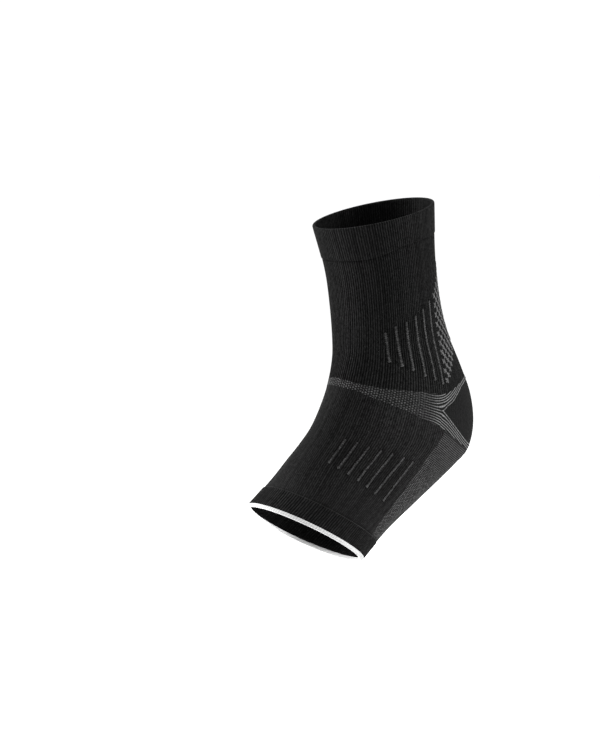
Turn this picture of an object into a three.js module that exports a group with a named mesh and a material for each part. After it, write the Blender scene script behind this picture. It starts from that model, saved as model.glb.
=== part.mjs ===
// Arch support sleeve: a knitted tube for one ankle, heel and midfoot, open at the leg and at the toes.
// Millimetres, +Z up. The origin is the middle of the ankle and the toes point to -Y. The two sides of the
// sleeve, on either side of X = 0, are alike. It keeps the shape that it has on a foot pointed halfway down.

import * as THREE from 'three';

// Leg, measured on the outside of the knit
const LEG_HEIGHT = 98; // ankle to leg opening
const LEG_DEPTH = 83; // front to back at the leg opening
const LEG_WIDTH = 82; // side to side at the leg opening
const LEG_LEAN = 12.5; // degrees that the leg leans towards the toes

// Foot, measured on the outside of the knit
const FOOT_LENGTH = 140; // ankle to the toe opening
const FOOT_DEPTH = 78; // top to sole at the toe opening
const FOOT_WIDTH = 90; // side to side at the toe opening
const FOOT_DROP = 42; // degrees that the foot points down

// Knit
const KNIT_WALL = 1.5;
const CUFF_WALL = 2.2; // a cuff is folded double
const CUFF_RISE = 0.4; // how far a cuff stands out from the knit beside it
const LEG_CUFF_DEPTH = 20;
const TOE_CUFF_DEPTH = 17.4; // with its white edge
const TOE_EDGE_DEPTH = 2.8;
const SEAM_GAP = 0.35; // between neighbouring zones of the knit

// Angles round the sleeve are in degrees from the middle of its front. The middle of its back is at 180.
const FORK = 101.5; // where the strap forks round the heel cup
const CUP_TIP = 2.5; // from the fork to the blunt tip of the heel cup
const SOLE_SIDE = 105; // mean place of the line between foot and sole panels

// Cells of the mesh
const FRONT_COLUMNS = 26; // from fork to fork over the instep
const BACK_COLUMNS = 20; // from fork to fork round the heel
const CUP_COLUMNS = 18;
const SOLE_COLUMNS = 16;
const CUFF_ROWS = 3;
const LEG_ROWS = 10;
const STRAP_ROWS = 6;
const CUP_ROWS = 7;
const FOOT_ROWS = 12;
const TOE_CUFF_ROWS = 2;
const TOE_EDGE_ROWS = 1;

// Steps for measuring on the surface, in sections and in degrees
const STEP_DOWN = 0.02;
const STEP_ROUND = 0.1;

const radians = THREE.MathUtils.degToRad;
const lerp = THREE.MathUtils.lerp;

// A limb gives places in the plane X = 0 by their share of its length from the ankle and their share of its
// depth out from its axis. Up and forward say which way it runs, outUp and outForward which way is out.
function limb(size, forward, up, outForward, outUp) {
  const place = ([lengthShare, depthShare]) => {
    const run = lengthShare * size.length;
    const out = depthShare * size.depth;
    return new THREE.Vector3(0, -(run * forward + out * outForward), run * up + out * outUp);
  };
  return { place, width: size.width };
}

const lean = radians(LEG_LEAN);
const drop = radians(FOOT_DROP);
const LEG = limb(
  { length: LEG_HEIGHT, depth: LEG_DEPTH, width: LEG_WIDTH },
  Math.sin(lean), Math.cos(lean), Math.cos(lean), -Math.sin(lean),
);
const FOOT = limb(
  { length: FOOT_LENGTH, depth: FOOT_DEPTH, width: FOOT_WIDTH },
  Math.cos(drop), -Math.sin(drop), Math.sin(drop), Math.cos(drop),
);

// Sections of the sleeve, counted down from the leg opening. Each is an oval from a point on the front to one
// on the back, as wide as a share of its limb. Belly is how far its widest place lies towards the back.
const SECTIONS = [
  { name: 'leg opening', limb: LEG, front: [0.99, 0.44], back: [1.01, -0.56], width: 1.0, belly: -0.01 },
  { name: 'calf', limb: LEG, front: [0.68, 0.4], back: [0.66, -0.48], width: 0.96, belly: 0 },
  { name: 'shin', limb: LEG, front: [0.42, 0.42], back: [0.38, -0.465], width: 0.91, belly: -0.03 },
  { name: 'ankle', limb: LEG, front: [0.17, 0.475], back: [0.11, -0.505], width: 0.85, belly: -0.06 },
  { name: 'instep', limb: FOOT, front: [0.265, 0.33], back: [-0.245, -0.55], width: 0.73, belly: -0.08 },
  { name: 'heel top', limb: FOOT, front: [0.36, 0.235], back: [-0.195, -0.83], width: 0.725, belly: -0.05 },
  { name: 'heel', limb: FOOT, front: [0.46, 0.165], back: [-0.11, -1.05], width: 0.725, belly: 0 },
  { name: 'heel base', limb: FOOT, front: [0.56, 0.11], back: [0, -1.165], width: 0.75, belly: 0.04 },
  { name: 'arch back', limb: FOOT, front: [0.66, 0.085], back: [0.12, -1.15], width: 0.79, belly: 0.05 },
  { name: 'arch', limb: FOOT, front: [0.75, 0.07], back: [0.28, -1.1], width: 0.845, belly: 0.05 },
  { name: 'waist', limb: FOOT, front: [0.84, 0.045], back: [0.46, -1.04], width: 0.91, belly: 0.03 },
  { name: 'ball', limb: FOOT, front: [0.92, 0.03], back: [0.65, -0.985], width: 0.965, belly: 0.01 },
  { name: 'toe opening', limb: FOOT, front: [1.03, 0.035], back: [0.866, -0.965], width: 1.0, belly: 0.04 },
];
const LEG_OPENING = 0;
const TOE_OPENING = SECTIONS.length - 1;

const smooth = (points) => new THREE.CatmullRomCurve3(points, false, 'catmullrom', 0.5);
const FRONT_LINE = smooth(SECTIONS.map((section) => section.limb.place(section.front)));
const BACK_LINE = smooth(SECTIONS.map((section) => section.limb.place(section.back)));
const GIRTH_LINE = smooth(
  SECTIONS.map((section) => new THREE.Vector3((section.width * section.limb.width) / 2, section.belly, 0)),
);

// A place on the outside of the knit, at an angle round it and a number of sections down
function surface(round, down) {
  const share = THREE.MathUtils.clamp(down / TOE_OPENING, 0, 1);
  const front = FRONT_LINE.getPoint(share);
  const back = BACK_LINE.getPoint(share);
  const girth = GIRTH_LINE.getPoint(share);
  const cosine = Math.cos(radians(round));
  const side = girth.x * Math.sin(radians(round)) * (1 - girth.y * cosine);
  const place = back.lerp(front, (1 + cosine) / 2);
  place.x = side;
  return place;
}

// The direction out of the knit. On the rim of an opening it lies in the plane of the opening, so that the
// rim is flat, and is lengthened so that the wall keeps its thickness.
function outward(round, down) {
  const upper = Math.max(down - STEP_DOWN, LEG_OPENING);
  const lower = Math.min(down + STEP_DOWN, TOE_OPENING);
  const below = surface(round, lower).sub(surface(round, upper));
  const beside = surface(round + STEP_ROUND, down).sub(surface(round - STEP_ROUND, down));
  const out = below.cross(beside).normalize();
  if (down > LEG_OPENING && down < TOE_OPENING) return out;
  const across = surface(0, down).sub(surface(180, down)).normalize();
  const plane = new THREE.Vector3(1, 0, 0).cross(across);
  const flat = out.clone().addScaledVector(plane, -out.dot(plane));
  return flat.multiplyScalar(1 / flat.lengthSq());
}

// An edge between two zones of the knit runs round the sleeve. Its table gives a value at some angles round
// one side, and the other side is its mirror image.
function edge({ round, value }) {
  const curve = new THREE.CubicInterpolant(round, value, 1);
  curve.settings = { endingStart: THREE.ZeroSlopeEnding, endingEnd: THREE.ZeroSlopeEnding };
  return (angle) => {
    const turned = THREE.MathUtils.euclideanModulo(angle, 360);
    return curve.evaluate(Math.min(turned, 360 - turned))[0];
  };
}

const STRAP_TOP = edge({
  round: [0, 15, 30, 45, 65, 85, 106, 117, 127, 142, 180],
  value: [4.48, 4.54, 4.65, 4.75, 4.83, 4.88, 4.93, 4.73, 4.55, 4.38, 4.28],
});
const STRAP_BASE = edge({
  round: [0, 16.5, 32.5, 42.5, 55.5, 67.5, 79.5, 90.5, 104, 112, 121.5, 138.5, 180],
  value: [4.83, 4.88, 5.02, 5.18, 5.38, 5.58, 5.8, 6.02, 6.25, 6.45, 6.68, 6.95, 7.15],
});
const CUP_TOP = edge({
  round: [FORK, 107, 113, 120.5, 127.5, 142, 180],
  value: [5.57, 5.38, 5.2, 4.9, 4.68, 4.47, 4.37],
});
const CUP_BASE = edge({
  round: [FORK, 106.5, 113.5, 122, 131, 143, 180],
  value: [5.57, 5.75, 6.05, 6.35, 6.6, 6.78, 6.95],
});

// Depth of a cuff round the sleeve, as a share of its mean depth
const LEG_CUFF_SHARE = edge({
  round: [0, 45, 60, 80, 136, 180],
  value: [1.12, 1.1, 1.03, 0.95, 1.0, 1.02],
});
const TOE_CUFF_SHARE = edge({ round: [0, 50, 94, 133, 180], value: [1.03, 1.01, 0.98, 0.98, 0.99] });

// The line between the foot and sole panels: the angle round at some numbers of sections down
const SIDE = { down: [6.2, 7.5, 9, 10.3, 11.5], round: [107, 102.5, 105, 108, 114] };
const SIDE_CURVE = new THREE.CubicInterpolant(SIDE.down, SIDE.round, 1);

// The edge that lies a length of knit away from an opening. The length may differ round the sleeve.
function depthFrom(opening, length) {
  const step = opening === LEG_OPENING ? STEP_DOWN : -STEP_DOWN;
  return (round) => {
    let down = opening;
    let place = surface(round, down);
    let left = length(round);
    for (;;) {
      const next = surface(round, down + step);
      const walked = next.distanceTo(place);
      if (walked >= left) return down + (step * left) / walked;
      left -= walked;
      down += step;
      place = next;
    }
  };
}

const LEG_SEAM = depthFrom(LEG_OPENING, (round) => LEG_CUFF_DEPTH * LEG_CUFF_SHARE(round));
const TOE_SEAM = depthFrom(TOE_OPENING, (round) => TOE_CUFF_DEPTH * TOE_CUFF_SHARE(round));
const TOE_EDGE_SEAM = depthFrom(TOE_OPENING, () => TOE_EDGE_DEPTH);

// An edge moved square to itself by a length of knit, down the sleeve where the length is above 0
function moved(line, length) {
  return (round) => {
    const down = line(round);
    const place = surface(round, down);
    const below = surface(round, down + STEP_DOWN).sub(place);
    const beside = surface(round + STEP_ROUND, line(round + STEP_ROUND)).sub(place).normalize();
    return down + (STEP_DOWN * length) / below.cross(beside).length();
  };
}
const under = (line) => moved(line, SEAM_GAP / 2);
const over = (line) => moved(line, -SEAM_GAP / 2);

// Half a seam's gap at a place, in degrees round
function halfGap(round, down) {
  const width = surface(round + STEP_ROUND, down).distanceTo(surface(round, down));
  return ((SEAM_GAP / 2) * STEP_ROUND) / width;
}

// Equal steps from one angle to another, both ends included
const spread = (from, to, steps) =>
  Array.from({ length: steps + 1 }, (_, index) => lerp(from, to, index / steps));

// Columns of a whole ring: over the instep from fork to fork, and on round the heel
const RING = [...spread(-FORK, FORK, FRONT_COLUMNS), ...spread(FORK, 360 - FORK, BACK_COLUMNS).slice(1, -1)];

// Cells of a patch of knit: each is four corners in turn, anticlockwise from outside. A corner has a name, by
// which patches share it, and its place as [angle round, sections down].
function patch(columns, rows, name, place, closed = false) {
  const corner = (row, column) => ({ name: name(row, column), place: place(row, column) });
  const cells = [];
  for (let row = 0; row < rows; row++) {
    for (let column = 0; column < columns; column++) {
      const next = closed ? (column + 1) % columns : column + 1;
      cells.push([corner(row, column), corner(row + 1, column), corner(row + 1, next), corner(row, next)]);
    }
  }
  return cells;
}
const plainName = (row, column) => `${row},${column}`;

// A closed solid from a zone's cells: an outer face, an inner face one wall in, and an edge wherever a cell
// has no neighbour
function knitSolid(cells, wall, rise) {
  const numbers = new Map();
  const positions = [];
  const triangles = [];
  const borders = new Map();
  const number = ({ name, place }) => {
    if (!numbers.has(name)) {
      numbers.set(name, numbers.size);
      const out = outward(...place);
      const face = surface(...place).addScaledVector(out, rise);
      positions.push(...face.toArray(), ...face.addScaledVector(out, -wall).toArray());
    }
    return 2 * numbers.get(name);
  };
  for (const cell of cells) {
    const [a, b, c, d] = cell.map(number);
    triangles.push(a, b, c, a, c, d);
    triangles.push(a + 1, c + 1, b + 1, a + 1, d + 1, c + 1);
    for (const [start, end] of [[a, b], [b, c], [c, d], [d, a]]) {
      if (!borders.delete(`${end},${start}`)) borders.set(`${start},${end}`, [start, end]);
    }
  }
  for (const [start, end] of borders.values()) {
    triangles.push(start, start + 1, end, end, start + 1, end + 1);
  }
  const geometry = new THREE.BufferGeometry();
  geometry.setAttribute('position', new THREE.Float32BufferAttribute(positions, 3));
  geometry.setIndex(triangles);
  geometry.computeVertexNormals();
  return geometry;
}

// A zone that goes all round the sleeve between two edges
function ringCells(top, base, rows) {
  const tops = RING.map(top);
  const bases = RING.map(base);
  const place = (row, column) => [RING[column], lerp(tops[column], bases[column], row / rows)];
  return patch(RING.length, rows, plainName, place, true);
}

// The strap is a ring that forks at the tips of the heel cup. Its cells above and below the middle line share
// corners over the instep and part at the fork.
function strapCells() {
  const middle = STRAP_ROWS / 2;
  const top = under(STRAP_TOP);
  const base = over(STRAP_BASE);
  const halves = [
    { first: 0, forked: over(CUP_TOP) },
    { first: middle, forked: under(CUP_BASE) },
  ];
  return halves.flatMap(({ first, forked }) => {
    const inFork = (column) => column > FRONT_COLUMNS;
    const centre = RING.map((round, column) =>
      inFork(column) ? forked(round) : (STRAP_TOP(round) + STRAP_BASE(round)) / 2,
    );
    const outer = RING.map(first === 0 ? top : base);
    const name = (row, column) =>
      first + row === middle && inFork(column) ? `fork ${first},${column}` : plainName(first + row, column);
    const place = (row, column) => {
      const share = row / middle;
      const [from, to] = first === 0 ? [outer[column], centre[column]] : [centre[column], outer[column]];
      return [RING[column], lerp(from, to, share)];
    };
    return patch(RING.length, middle, name, place, true);
  });
}

function heelCupCells() {
  const columns = spread(FORK + CUP_TIP, 360 - FORK - CUP_TIP, CUP_COLUMNS);
  const tops = columns.map(under(CUP_TOP));
  const bases = columns.map(over(CUP_BASE));
  const place = (row, column) => [columns[column], lerp(tops[column], bases[column], row / CUP_ROWS)];
  return patch(CUP_COLUMNS, CUP_ROWS, plainName, place);
}

// A panel between the strap and the toe cuff. Span gives the angles of its two sides from that of the side
// line of the foot, and inward is -1 where the panel lies in front of that line and 1 behind it.
function footCells(columns, inward, span) {
  const top = under(STRAP_BASE);
  const base = over(TOE_SEAM);
  const place = (row, column) => {
    const down = (round) => lerp(top(round), base(round), row / FOOT_ROWS);
    const level = down(SOLE_SIDE);
    const side = SIDE_CURVE.evaluate(level)[0] + inward * halfGap(SOLE_SIDE, level);
    const round = lerp(...span(side), column / columns);
    return [round, down(round)];
  };
  return patch(columns, FOOT_ROWS, plainName, place);
}

const BLACK_KNIT = { color: 0x1d1d1f, roughness: 0.92, metalness: 0 };
const CUFF_KNIT = { color: 0x28282a, roughness: 0.9, metalness: 0 };
const HEEL_KNIT = { color: 0x232325, roughness: 0.88, metalness: 0 };
const MELANGE_KNIT = { color: 0x4a4a4c, roughness: 0.93, metalness: 0 };
const WHITE_KNIT = { color: 0xececec, roughness: 0.85, metalness: 0 };

function zone(name, cells, look, wall = KNIT_WALL, rise = 0) {
  const mesh = new THREE.Mesh(knitSolid(cells, wall, rise), new THREE.MeshStandardMaterial(look));
  mesh.name = name;
  return mesh;
}

const legRim = () => LEG_OPENING;
const toeRim = () => TOE_OPENING;
const legCuff = ringCells(legRim, over(LEG_SEAM), CUFF_ROWS);
const legPanel = ringCells(under(LEG_SEAM), over(STRAP_TOP), LEG_ROWS);
const footPanel = footCells(FRONT_COLUMNS, -1, (side) => [-side, side]);
const solePanel = footCells(SOLE_COLUMNS, 1, (side) => [side, 360 - side]);
const toeCuff = ringCells(under(TOE_SEAM), over(TOE_EDGE_SEAM), TOE_CUFF_ROWS);
const toeEdge = ringCells(under(TOE_EDGE_SEAM), toeRim, TOE_EDGE_ROWS);

const group = new THREE.Group();
group.add(
  zone('leg_cuff', legCuff, CUFF_KNIT, CUFF_WALL, CUFF_RISE),
  zone('leg_panel', legPanel, BLACK_KNIT),
  zone('ankle_strap', strapCells(), MELANGE_KNIT),
  zone('heel_cup', heelCupCells(), HEEL_KNIT),
  zone('foot_panel', footPanel, BLACK_KNIT),
  zone('sole_panel', solePanel, MELANGE_KNIT),
  zone('toe_cuff', toeCuff, CUFF_KNIT, CUFF_WALL, CUFF_RISE),
  zone('toe_edge', toeEdge, WHITE_KNIT, CUFF_WALL),
);

export default group;
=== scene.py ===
# %% [markdown]
# # An arch support sleeve, knitted to shape
#
# The real object is one tube of knitted yarn for an ankle, heel and midfoot. A circular machine knits it in a
# single run and changes the stitch as it goes: ribs on the leg and the foot, a grey wedge over the ankle, a
# smooth pocket for the heel, double cuffs at both ends. So this lesson builds one surface first and then
# knits each zone on it, in the machine's own two directions: wales, which run along the sleeve, and courses,
# which run round it.
#
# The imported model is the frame. It is loaded first, and its box is kept, because the dressed model has to
# stay inside it.

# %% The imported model
import math

import bpy
import numpy as np
from mathutils import Matrix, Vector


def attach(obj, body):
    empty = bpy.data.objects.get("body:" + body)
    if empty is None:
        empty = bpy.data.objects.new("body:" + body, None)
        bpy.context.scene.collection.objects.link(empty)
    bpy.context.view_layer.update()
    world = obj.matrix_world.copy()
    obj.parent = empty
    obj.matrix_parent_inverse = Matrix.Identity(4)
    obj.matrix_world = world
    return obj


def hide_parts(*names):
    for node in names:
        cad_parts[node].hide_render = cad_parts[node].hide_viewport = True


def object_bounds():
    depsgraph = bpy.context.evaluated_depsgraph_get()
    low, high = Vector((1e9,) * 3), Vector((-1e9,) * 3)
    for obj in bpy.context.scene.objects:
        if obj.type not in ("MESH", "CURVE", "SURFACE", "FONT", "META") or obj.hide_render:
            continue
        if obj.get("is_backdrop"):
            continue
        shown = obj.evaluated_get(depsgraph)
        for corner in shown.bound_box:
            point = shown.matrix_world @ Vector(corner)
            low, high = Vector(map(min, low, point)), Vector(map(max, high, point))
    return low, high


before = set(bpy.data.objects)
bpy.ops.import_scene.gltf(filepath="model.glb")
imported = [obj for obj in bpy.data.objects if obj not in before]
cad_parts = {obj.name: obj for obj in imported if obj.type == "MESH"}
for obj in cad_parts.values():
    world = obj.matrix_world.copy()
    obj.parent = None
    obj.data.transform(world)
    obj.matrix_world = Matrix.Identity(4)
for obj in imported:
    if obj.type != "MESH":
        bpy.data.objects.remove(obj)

CAD_BOX = [list(corner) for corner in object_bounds()]
print("CAD nodes:", sorted(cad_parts))
print("CAD box in metres:", [[round(value, 4) for value in corner] for corner in CAD_BOX])

# %% [markdown]
# ## The camera
#
# The photograph was taken with a long lens, a little above the sleeve and from in front of its side. The
# camera stands on the side of +X, turned towards the toes, which point to -Y. Its place comes from two
# angles and a distance, and it aims beside the sleeve because the photograph doesn't have it in the middle.

# %% Placing things
def add_object(name, data):
    thing = bpy.data.objects.new(name, data)
    bpy.context.scene.collection.objects.link(thing)
    return thing


def aimed(name, data, right, up, back, place):
    """An object that faces away from back, as cameras and lights do."""
    thing = add_object(name, data)
    thing.matrix_world = Matrix(np.column_stack([right, up, back, place])).to_4x4()
    return thing


# %% The camera
CAMERA_TURN = math.radians(35)  # from the side of the sleeve towards the toes
CAMERA_RISE = math.radians(6)
CAMERA_DISTANCE = 1.5
LENS = 105.9  # millimetres, on a 36 mm high sensor
AIM_LEFT = 0.06256  # from the origin, in the picture
AIM_DOWN = 0.0136

turn_sine, turn_cosine = math.sin(CAMERA_TURN), math.cos(CAMERA_TURN)
rise_sine, rise_cosine = math.sin(CAMERA_RISE), math.cos(CAMERA_RISE)
camera_right = np.array([turn_sine, turn_cosine, 0])
camera_back = np.array([turn_cosine * rise_cosine, -turn_sine * rise_cosine, rise_sine])
camera_up = np.cross(camera_back, camera_right)
camera_place = CAMERA_DISTANCE * camera_back - AIM_LEFT * camera_right - AIM_DOWN * camera_up

lens = bpy.data.cameras.new("camera")
lens.sensor_fit = "VERTICAL"
lens.sensor_height = 36
lens.lens = LENS
camera = aimed("camera", lens, camera_right, camera_up, camera_back, camera_place)
bpy.context.scene.camera = camera
print("Camera at", [round(value, 3) for value in camera.location])

# %% [markdown]
# ## One surface for the whole sleeve
#
# A worn sleeve has the form of the ankle inside it. It could be sculpted, or a cloth simulation could pull a
# straight tube over a foot. Here the form is known from the photograph, so the surface is lofted instead:
# thirteen oval sections run down the leg, fan round the ankle and go on along the foot. A place on it is an
# angle round the sleeve, from the middle of its front, and a number of sections down from the leg opening.

# %% The leg and the foot
LEG_LEAN = math.radians(12.5)
FOOT_DROP = math.radians(42)
LEG = {
    "length": 0.098,
    "depth": 0.083,
    "width": 0.082,
    "along": (math.sin(LEG_LEAN), math.cos(LEG_LEAN)),
    "out": (math.cos(LEG_LEAN), -math.sin(LEG_LEAN)),
}
FOOT = {
    "length": 0.140,
    "depth": 0.078,
    "width": 0.090,
    "along": (math.cos(FOOT_DROP), -math.sin(FOOT_DROP)),
    "out": (math.sin(FOOT_DROP), math.cos(FOOT_DROP)),
}


def limb_point(limb, length_share, depth_share):
    """A point in the middle plane of the sleeve, from its shares of a limb's length and depth."""
    run, out = length_share * limb["length"], depth_share * limb["depth"]
    forward, up = (run * limb["along"][k] + out * limb["out"][k] for k in range(2))
    return (0.0, -forward, up)


# Limb, front and back as shares of its length and depth, width as a share, and how far back it is widest
SECTIONS = [
    (LEG, (0.99, 0.44), (1.01, -0.56), 1.0, -0.01),
    (LEG, (0.68, 0.4), (0.66, -0.48), 0.96, 0),
    (LEG, (0.42, 0.42), (0.38, -0.465), 0.91, -0.03),
    (LEG, (0.17, 0.475), (0.11, -0.505), 0.85, -0.06),
    (FOOT, (0.265, 0.33), (-0.245, -0.55), 0.73, -0.08),
    (FOOT, (0.36, 0.235), (-0.195, -0.83), 0.725, -0.05),
    (FOOT, (0.46, 0.165), (-0.11, -1.05), 0.725, 0),
    (FOOT, (0.56, 0.11), (0, -1.165), 0.75, 0.04),
    (FOOT, (0.66, 0.085), (0.12, -1.15), 0.79, 0.05),
    (FOOT, (0.75, 0.07), (0.28, -1.1), 0.845, 0.05),
    (FOOT, (0.84, 0.045), (0.46, -1.04), 0.91, 0.03),
    (FOOT, (0.92, 0.03), (0.65, -0.985), 0.965, 0.01),
    (FOOT, (1.03, 0.035), (0.866, -0.965), 1.0, 0.04),
]
TOE_OPENING = len(SECTIONS) - 1
FRONT_LINE = np.array([limb_point(limb, *front) for limb, front, *_ in SECTIONS])
BACK_LINE = np.array([limb_point(limb, *back) for limb, _, back, *_ in SECTIONS])
GIRTH_LINE = np.array([(width * limb["width"] / 2, belly) for limb, _, _, width, belly in SECTIONS])
print("Sections:", len(SECTIONS), "Leg and foot lean by", LEG_LEAN, FOOT_DROP)


# %% A place on the surface
def through(points, down):
    """The smooth curve through the rows of points, at a number of sections down."""
    last = len(points) - 1
    first = np.clip(np.floor(down).astype(int), 0, last - 1)
    part = (np.clip(down, 0, last) - first)[..., None]
    guide = np.vstack([2 * points[0] - points[1], points, 2 * points[-1] - points[-2]])
    before, start, end, after = (guide[first + k] for k in range(4))
    bend = 2 * before - 5 * start + 4 * end - after
    twist = 3 * start - before - 3 * end + after
    return start + ((end - before) * part + bend * part**2 + twist * part**3) / 2


def surface(turn, down):
    """The outside of the knit, in metres, at angles round it in degrees and numbers of sections down."""
    turn, down = np.broadcast_arrays(np.asarray(turn, float), np.asarray(down, float))
    front, back, girth = (through(line, down) for line in (FRONT_LINE, BACK_LINE, GIRTH_LINE))
    cosine = np.cos(np.radians(turn))
    point = back + (front - back) * ((1 + cosine) / 2)[..., None]
    point[..., 0] = girth[..., 0] * np.sin(np.radians(turn)) * (1 - girth[..., 1] * cosine)
    return point


def unit(vectors):
    return vectors / np.linalg.norm(vectors, axis=-1, keepdims=True)


STEP_DOWN = 0.02
STEP_TURN = 0.1


def short_steps(turn, down):
    """From one step before a place to one after it, down the surface and round it."""
    above, below = np.maximum(down - STEP_DOWN, 0), np.minimum(down + STEP_DOWN, TOE_OPENING)
    beside = surface(turn + STEP_TURN, down) - surface(turn - STEP_TURN, down)
    return surface(turn, below) - surface(turn, above), beside


ankle_girth = np.linalg.norm(np.diff(surface(np.arange(361.0), 3.0), axis=0), axis=1).sum()
print(f"Girth at the ankle {ankle_girth * 100:.1f} cm")

# %% [markdown]
# ## Lengths along the knit
#
# A knitter counts in stitches, and stitches have a length. Adding up short steps down the surface, once for
# each wale, gives a table of the length of knit from the leg opening to any place. The courses, the cuffs
# and the rows of crosses are all measured with it.

# %% A table of lengths
RIBS = 150
RIB_CROWDING = 0.107  # the ribs lie closer together on the sides
RIB_COLUMNS = 5  # columns of the mesh in a rib
COLUMNS = RIBS * RIB_COLUMNS
DOWN_STEPS = 1200


def rib_number(turn):
    """Ribs counted round the sleeve, from the middle of its front."""
    return RIBS * (np.asarray(turn) / 360 - RIB_CROWDING * np.sin(2 * np.radians(turn)) / (4 * np.pi))


even_turns = np.linspace(0, 360, 8 * COLUMNS + 1)
TURNS = np.interp(np.arange(COLUMNS + 1) / RIB_COLUMNS, rib_number(even_turns), even_turns)
DOWNS = np.linspace(0, TOE_OPENING, DOWN_STEPS + 1)
table_grid = surface(TURNS[None, :], DOWNS[:, None])
LENGTHS = np.zeros(table_grid.shape[:2])
LENGTHS[1:] = np.cumsum(np.linalg.norm(np.diff(table_grid, axis=0), axis=-1), axis=0)


def blend(start, end, share):
    """From one value to another."""
    return start * (1 - share) + end * share


def walked(turn, down):
    """The length of knit from the leg opening to a place, along its wale."""
    column = rib_number(np.asarray(turn) % 360) * RIB_COLUMNS
    row = np.clip(down, 0, TOE_OPENING) * DOWN_STEPS / TOE_OPENING
    left = np.minimum(column.astype(int), COLUMNS - 1)
    top = np.minimum(row.astype(int), DOWN_STEPS - 1)
    upper = blend(LENGTHS[top, left], LENGTHS[top, left + 1], column - left)
    lower = blend(LENGTHS[top + 1, left], LENGTHS[top + 1, left + 1], column - left)
    return blend(upper, lower, row - top)


def down_at(turn, length):
    """How many sections down a length of knit ends, for rows of lengths and a row of turns."""
    turn = np.asarray(turn, float)
    column = rib_number(turn % 360) * RIB_COLUMNS
    left = np.minimum(column.astype(int), COLUMNS - 1)
    lengths = np.atleast_2d(length) * np.ones(turn.shape)
    found = np.empty(lengths.shape)
    for k, (at, part) in enumerate(zip(left, column - left)):
        found[:, k] = np.interp(lengths[:, k], blend(LENGTHS[:, at], LENGTHS[:, at + 1], part), DOWNS)
    return found


def from_toes(turn, length):
    """The same, measured back from the toe opening."""
    return down_at(turn, walked(turn, TOE_OPENING) - length)


for name, turn in (("front", 0), ("side", 90), ("back", 180)):
    print(f"Length of knit along the {name}: {walked(np.array(turn), TOE_OPENING) * 1000:.0f} mm")

# %% [markdown]
# ## The lines between the zones
#
# Each line between two zones is a small table, with a value at some angles round one side of the sleeve. A
# smooth curve runs through it, and the other side is its mirror image.


# %% Lines round the sleeve
def one_side(turn):
    """Degrees from the middle of the front, on either side."""
    return 180 - np.abs(np.asarray(turn) % 360 - 180)


def curve(at, values, flat_ends=True):
    """A smooth curve through a few values, level at its ends or straight there."""
    at, values = np.array(at, float), np.array(values, float)
    slopes = np.diff(values) / np.diff(at)
    ends = (0.0, 0.0) if flat_ends else (slopes[0], slopes[-1])
    lean = np.concatenate([[ends[0]], (slopes[1:] + slopes[:-1]) / 2, [ends[1]]])

    def value(where):
        where = np.clip(where, at[0], at[-1])
        first = np.clip(np.searchsorted(at, where, side="right") - 1, 0, len(at) - 2)
        width = at[first + 1] - at[first]
        part = (where - at[first]) / width
        rise = part * part * (3 - 2 * part)
        hook = part * (1 - part) ** 2 * lean[first] - part**2 * (1 - part) * lean[first + 1]
        return values[first] * (1 - rise) + values[first + 1] * rise + width * hook

    return value


def edge(at, values):
    line = curve(at, values)
    return lambda turn: line(one_side(turn))


FORK = 101.5
STRAP_TOP = edge(
    [0, 15, 30, 45, 65, 85, 106, 117, 127, 142, 180],
    [4.48, 4.54, 4.65, 4.75, 4.83, 4.88, 4.93, 4.73, 4.55, 4.38, 4.28],
)
STRAP_BASE = edge(
    [0, 16.5, 32.5, 42.5, 55.5, 67.5, 79.5, 90.5, 104, 112, 121.5, 138.5, 180],
    [4.83, 4.88, 5.02, 5.18, 5.38, 5.58, 5.8, 6.02, 6.25, 6.45, 6.68, 6.95, 7.15],
)
CUP_TOP = edge([FORK, 107, 113, 120.5, 127.5, 142, 180], [5.57, 5.38, 5.2, 4.9, 4.68, 4.47, 4.37])
CUP_BASE = edge([FORK, 106.5, 113.5, 122, 131, 143, 180], [5.57, 5.75, 6.05, 6.35, 6.6, 6.78, 6.95])
SOLE_SIDE = curve([6.2, 7.5, 9, 10.3, 11.5], [107, 102.5, 105, 108, 114], flat_ends=False)

LEG_CUFF_DEPTH = 0.020
TOE_CUFF_DEPTH = 0.0174
TOE_EDGE_DEPTH = 0.0028
leg_cuff_shares = np.array([1.12, 1.14, 1.07, 0.95, 1.0, 1.02])
toe_cuff_shares = np.array([1.03, 1.01, 0.98, 0.98, 0.99])
leg_seam_length = edge([0, 45, 60, 80, 136, 180], LEG_CUFF_DEPTH * leg_cuff_shares)
toe_seam_length = edge([0, 50, 94, 133, 180], TOE_CUFF_DEPTH * toe_cuff_shares)


def strap_middle(turn):
    return (STRAP_TOP(turn) + STRAP_BASE(turn)) / 2


side_turns = np.array([0.0, 60.0, 101.0])
widths = (walked(side_turns, STRAP_BASE(side_turns)) - walked(side_turns, STRAP_TOP(side_turns))) * 1000
print("Strap width at the front, at 60 degrees and at the fork:", widths.round(1), "mm")

# %% [markdown]
# ## Relief of the knit
#
# In a rib knit every second wale stands up as a rounded rib, and the wale beside it sinks into a groove. A
# rib is less than half a millimetre high, but the grooves are what makes knitted cloth look deep, so they
# are worth real geometry. The single stitches are finer and come later, as a bump in the finish.

# %% Ribs
RIB_HEIGHT = 0.0004
WALL = 0.0015
CUFF_WALL = 0.0022
CUFF_RISE = 0.0004


def ease(low, high, value):
    """0 below low, 1 above high, and smooth between."""
    part = np.clip((value - low) / (high - low), 0, 1)
    return part * part * (3 - 2 * part)


def ribs(turn):
    """Metres that the knit stands above its mean surface on a rib, or below it in a groove."""
    height = np.abs(np.sin(np.pi * rib_number(turn))) ** 1.2
    return (height - 0.6) * RIB_HEIGHT


def lining(turn):
    """The height of the inside of the wall, where the ribs show less."""
    return -WALL - ribs(turn) * 0.5


print("Rib to rib at the ankle:", round(ankle_girth * 1000 / RIBS, 2), "mm")

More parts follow.
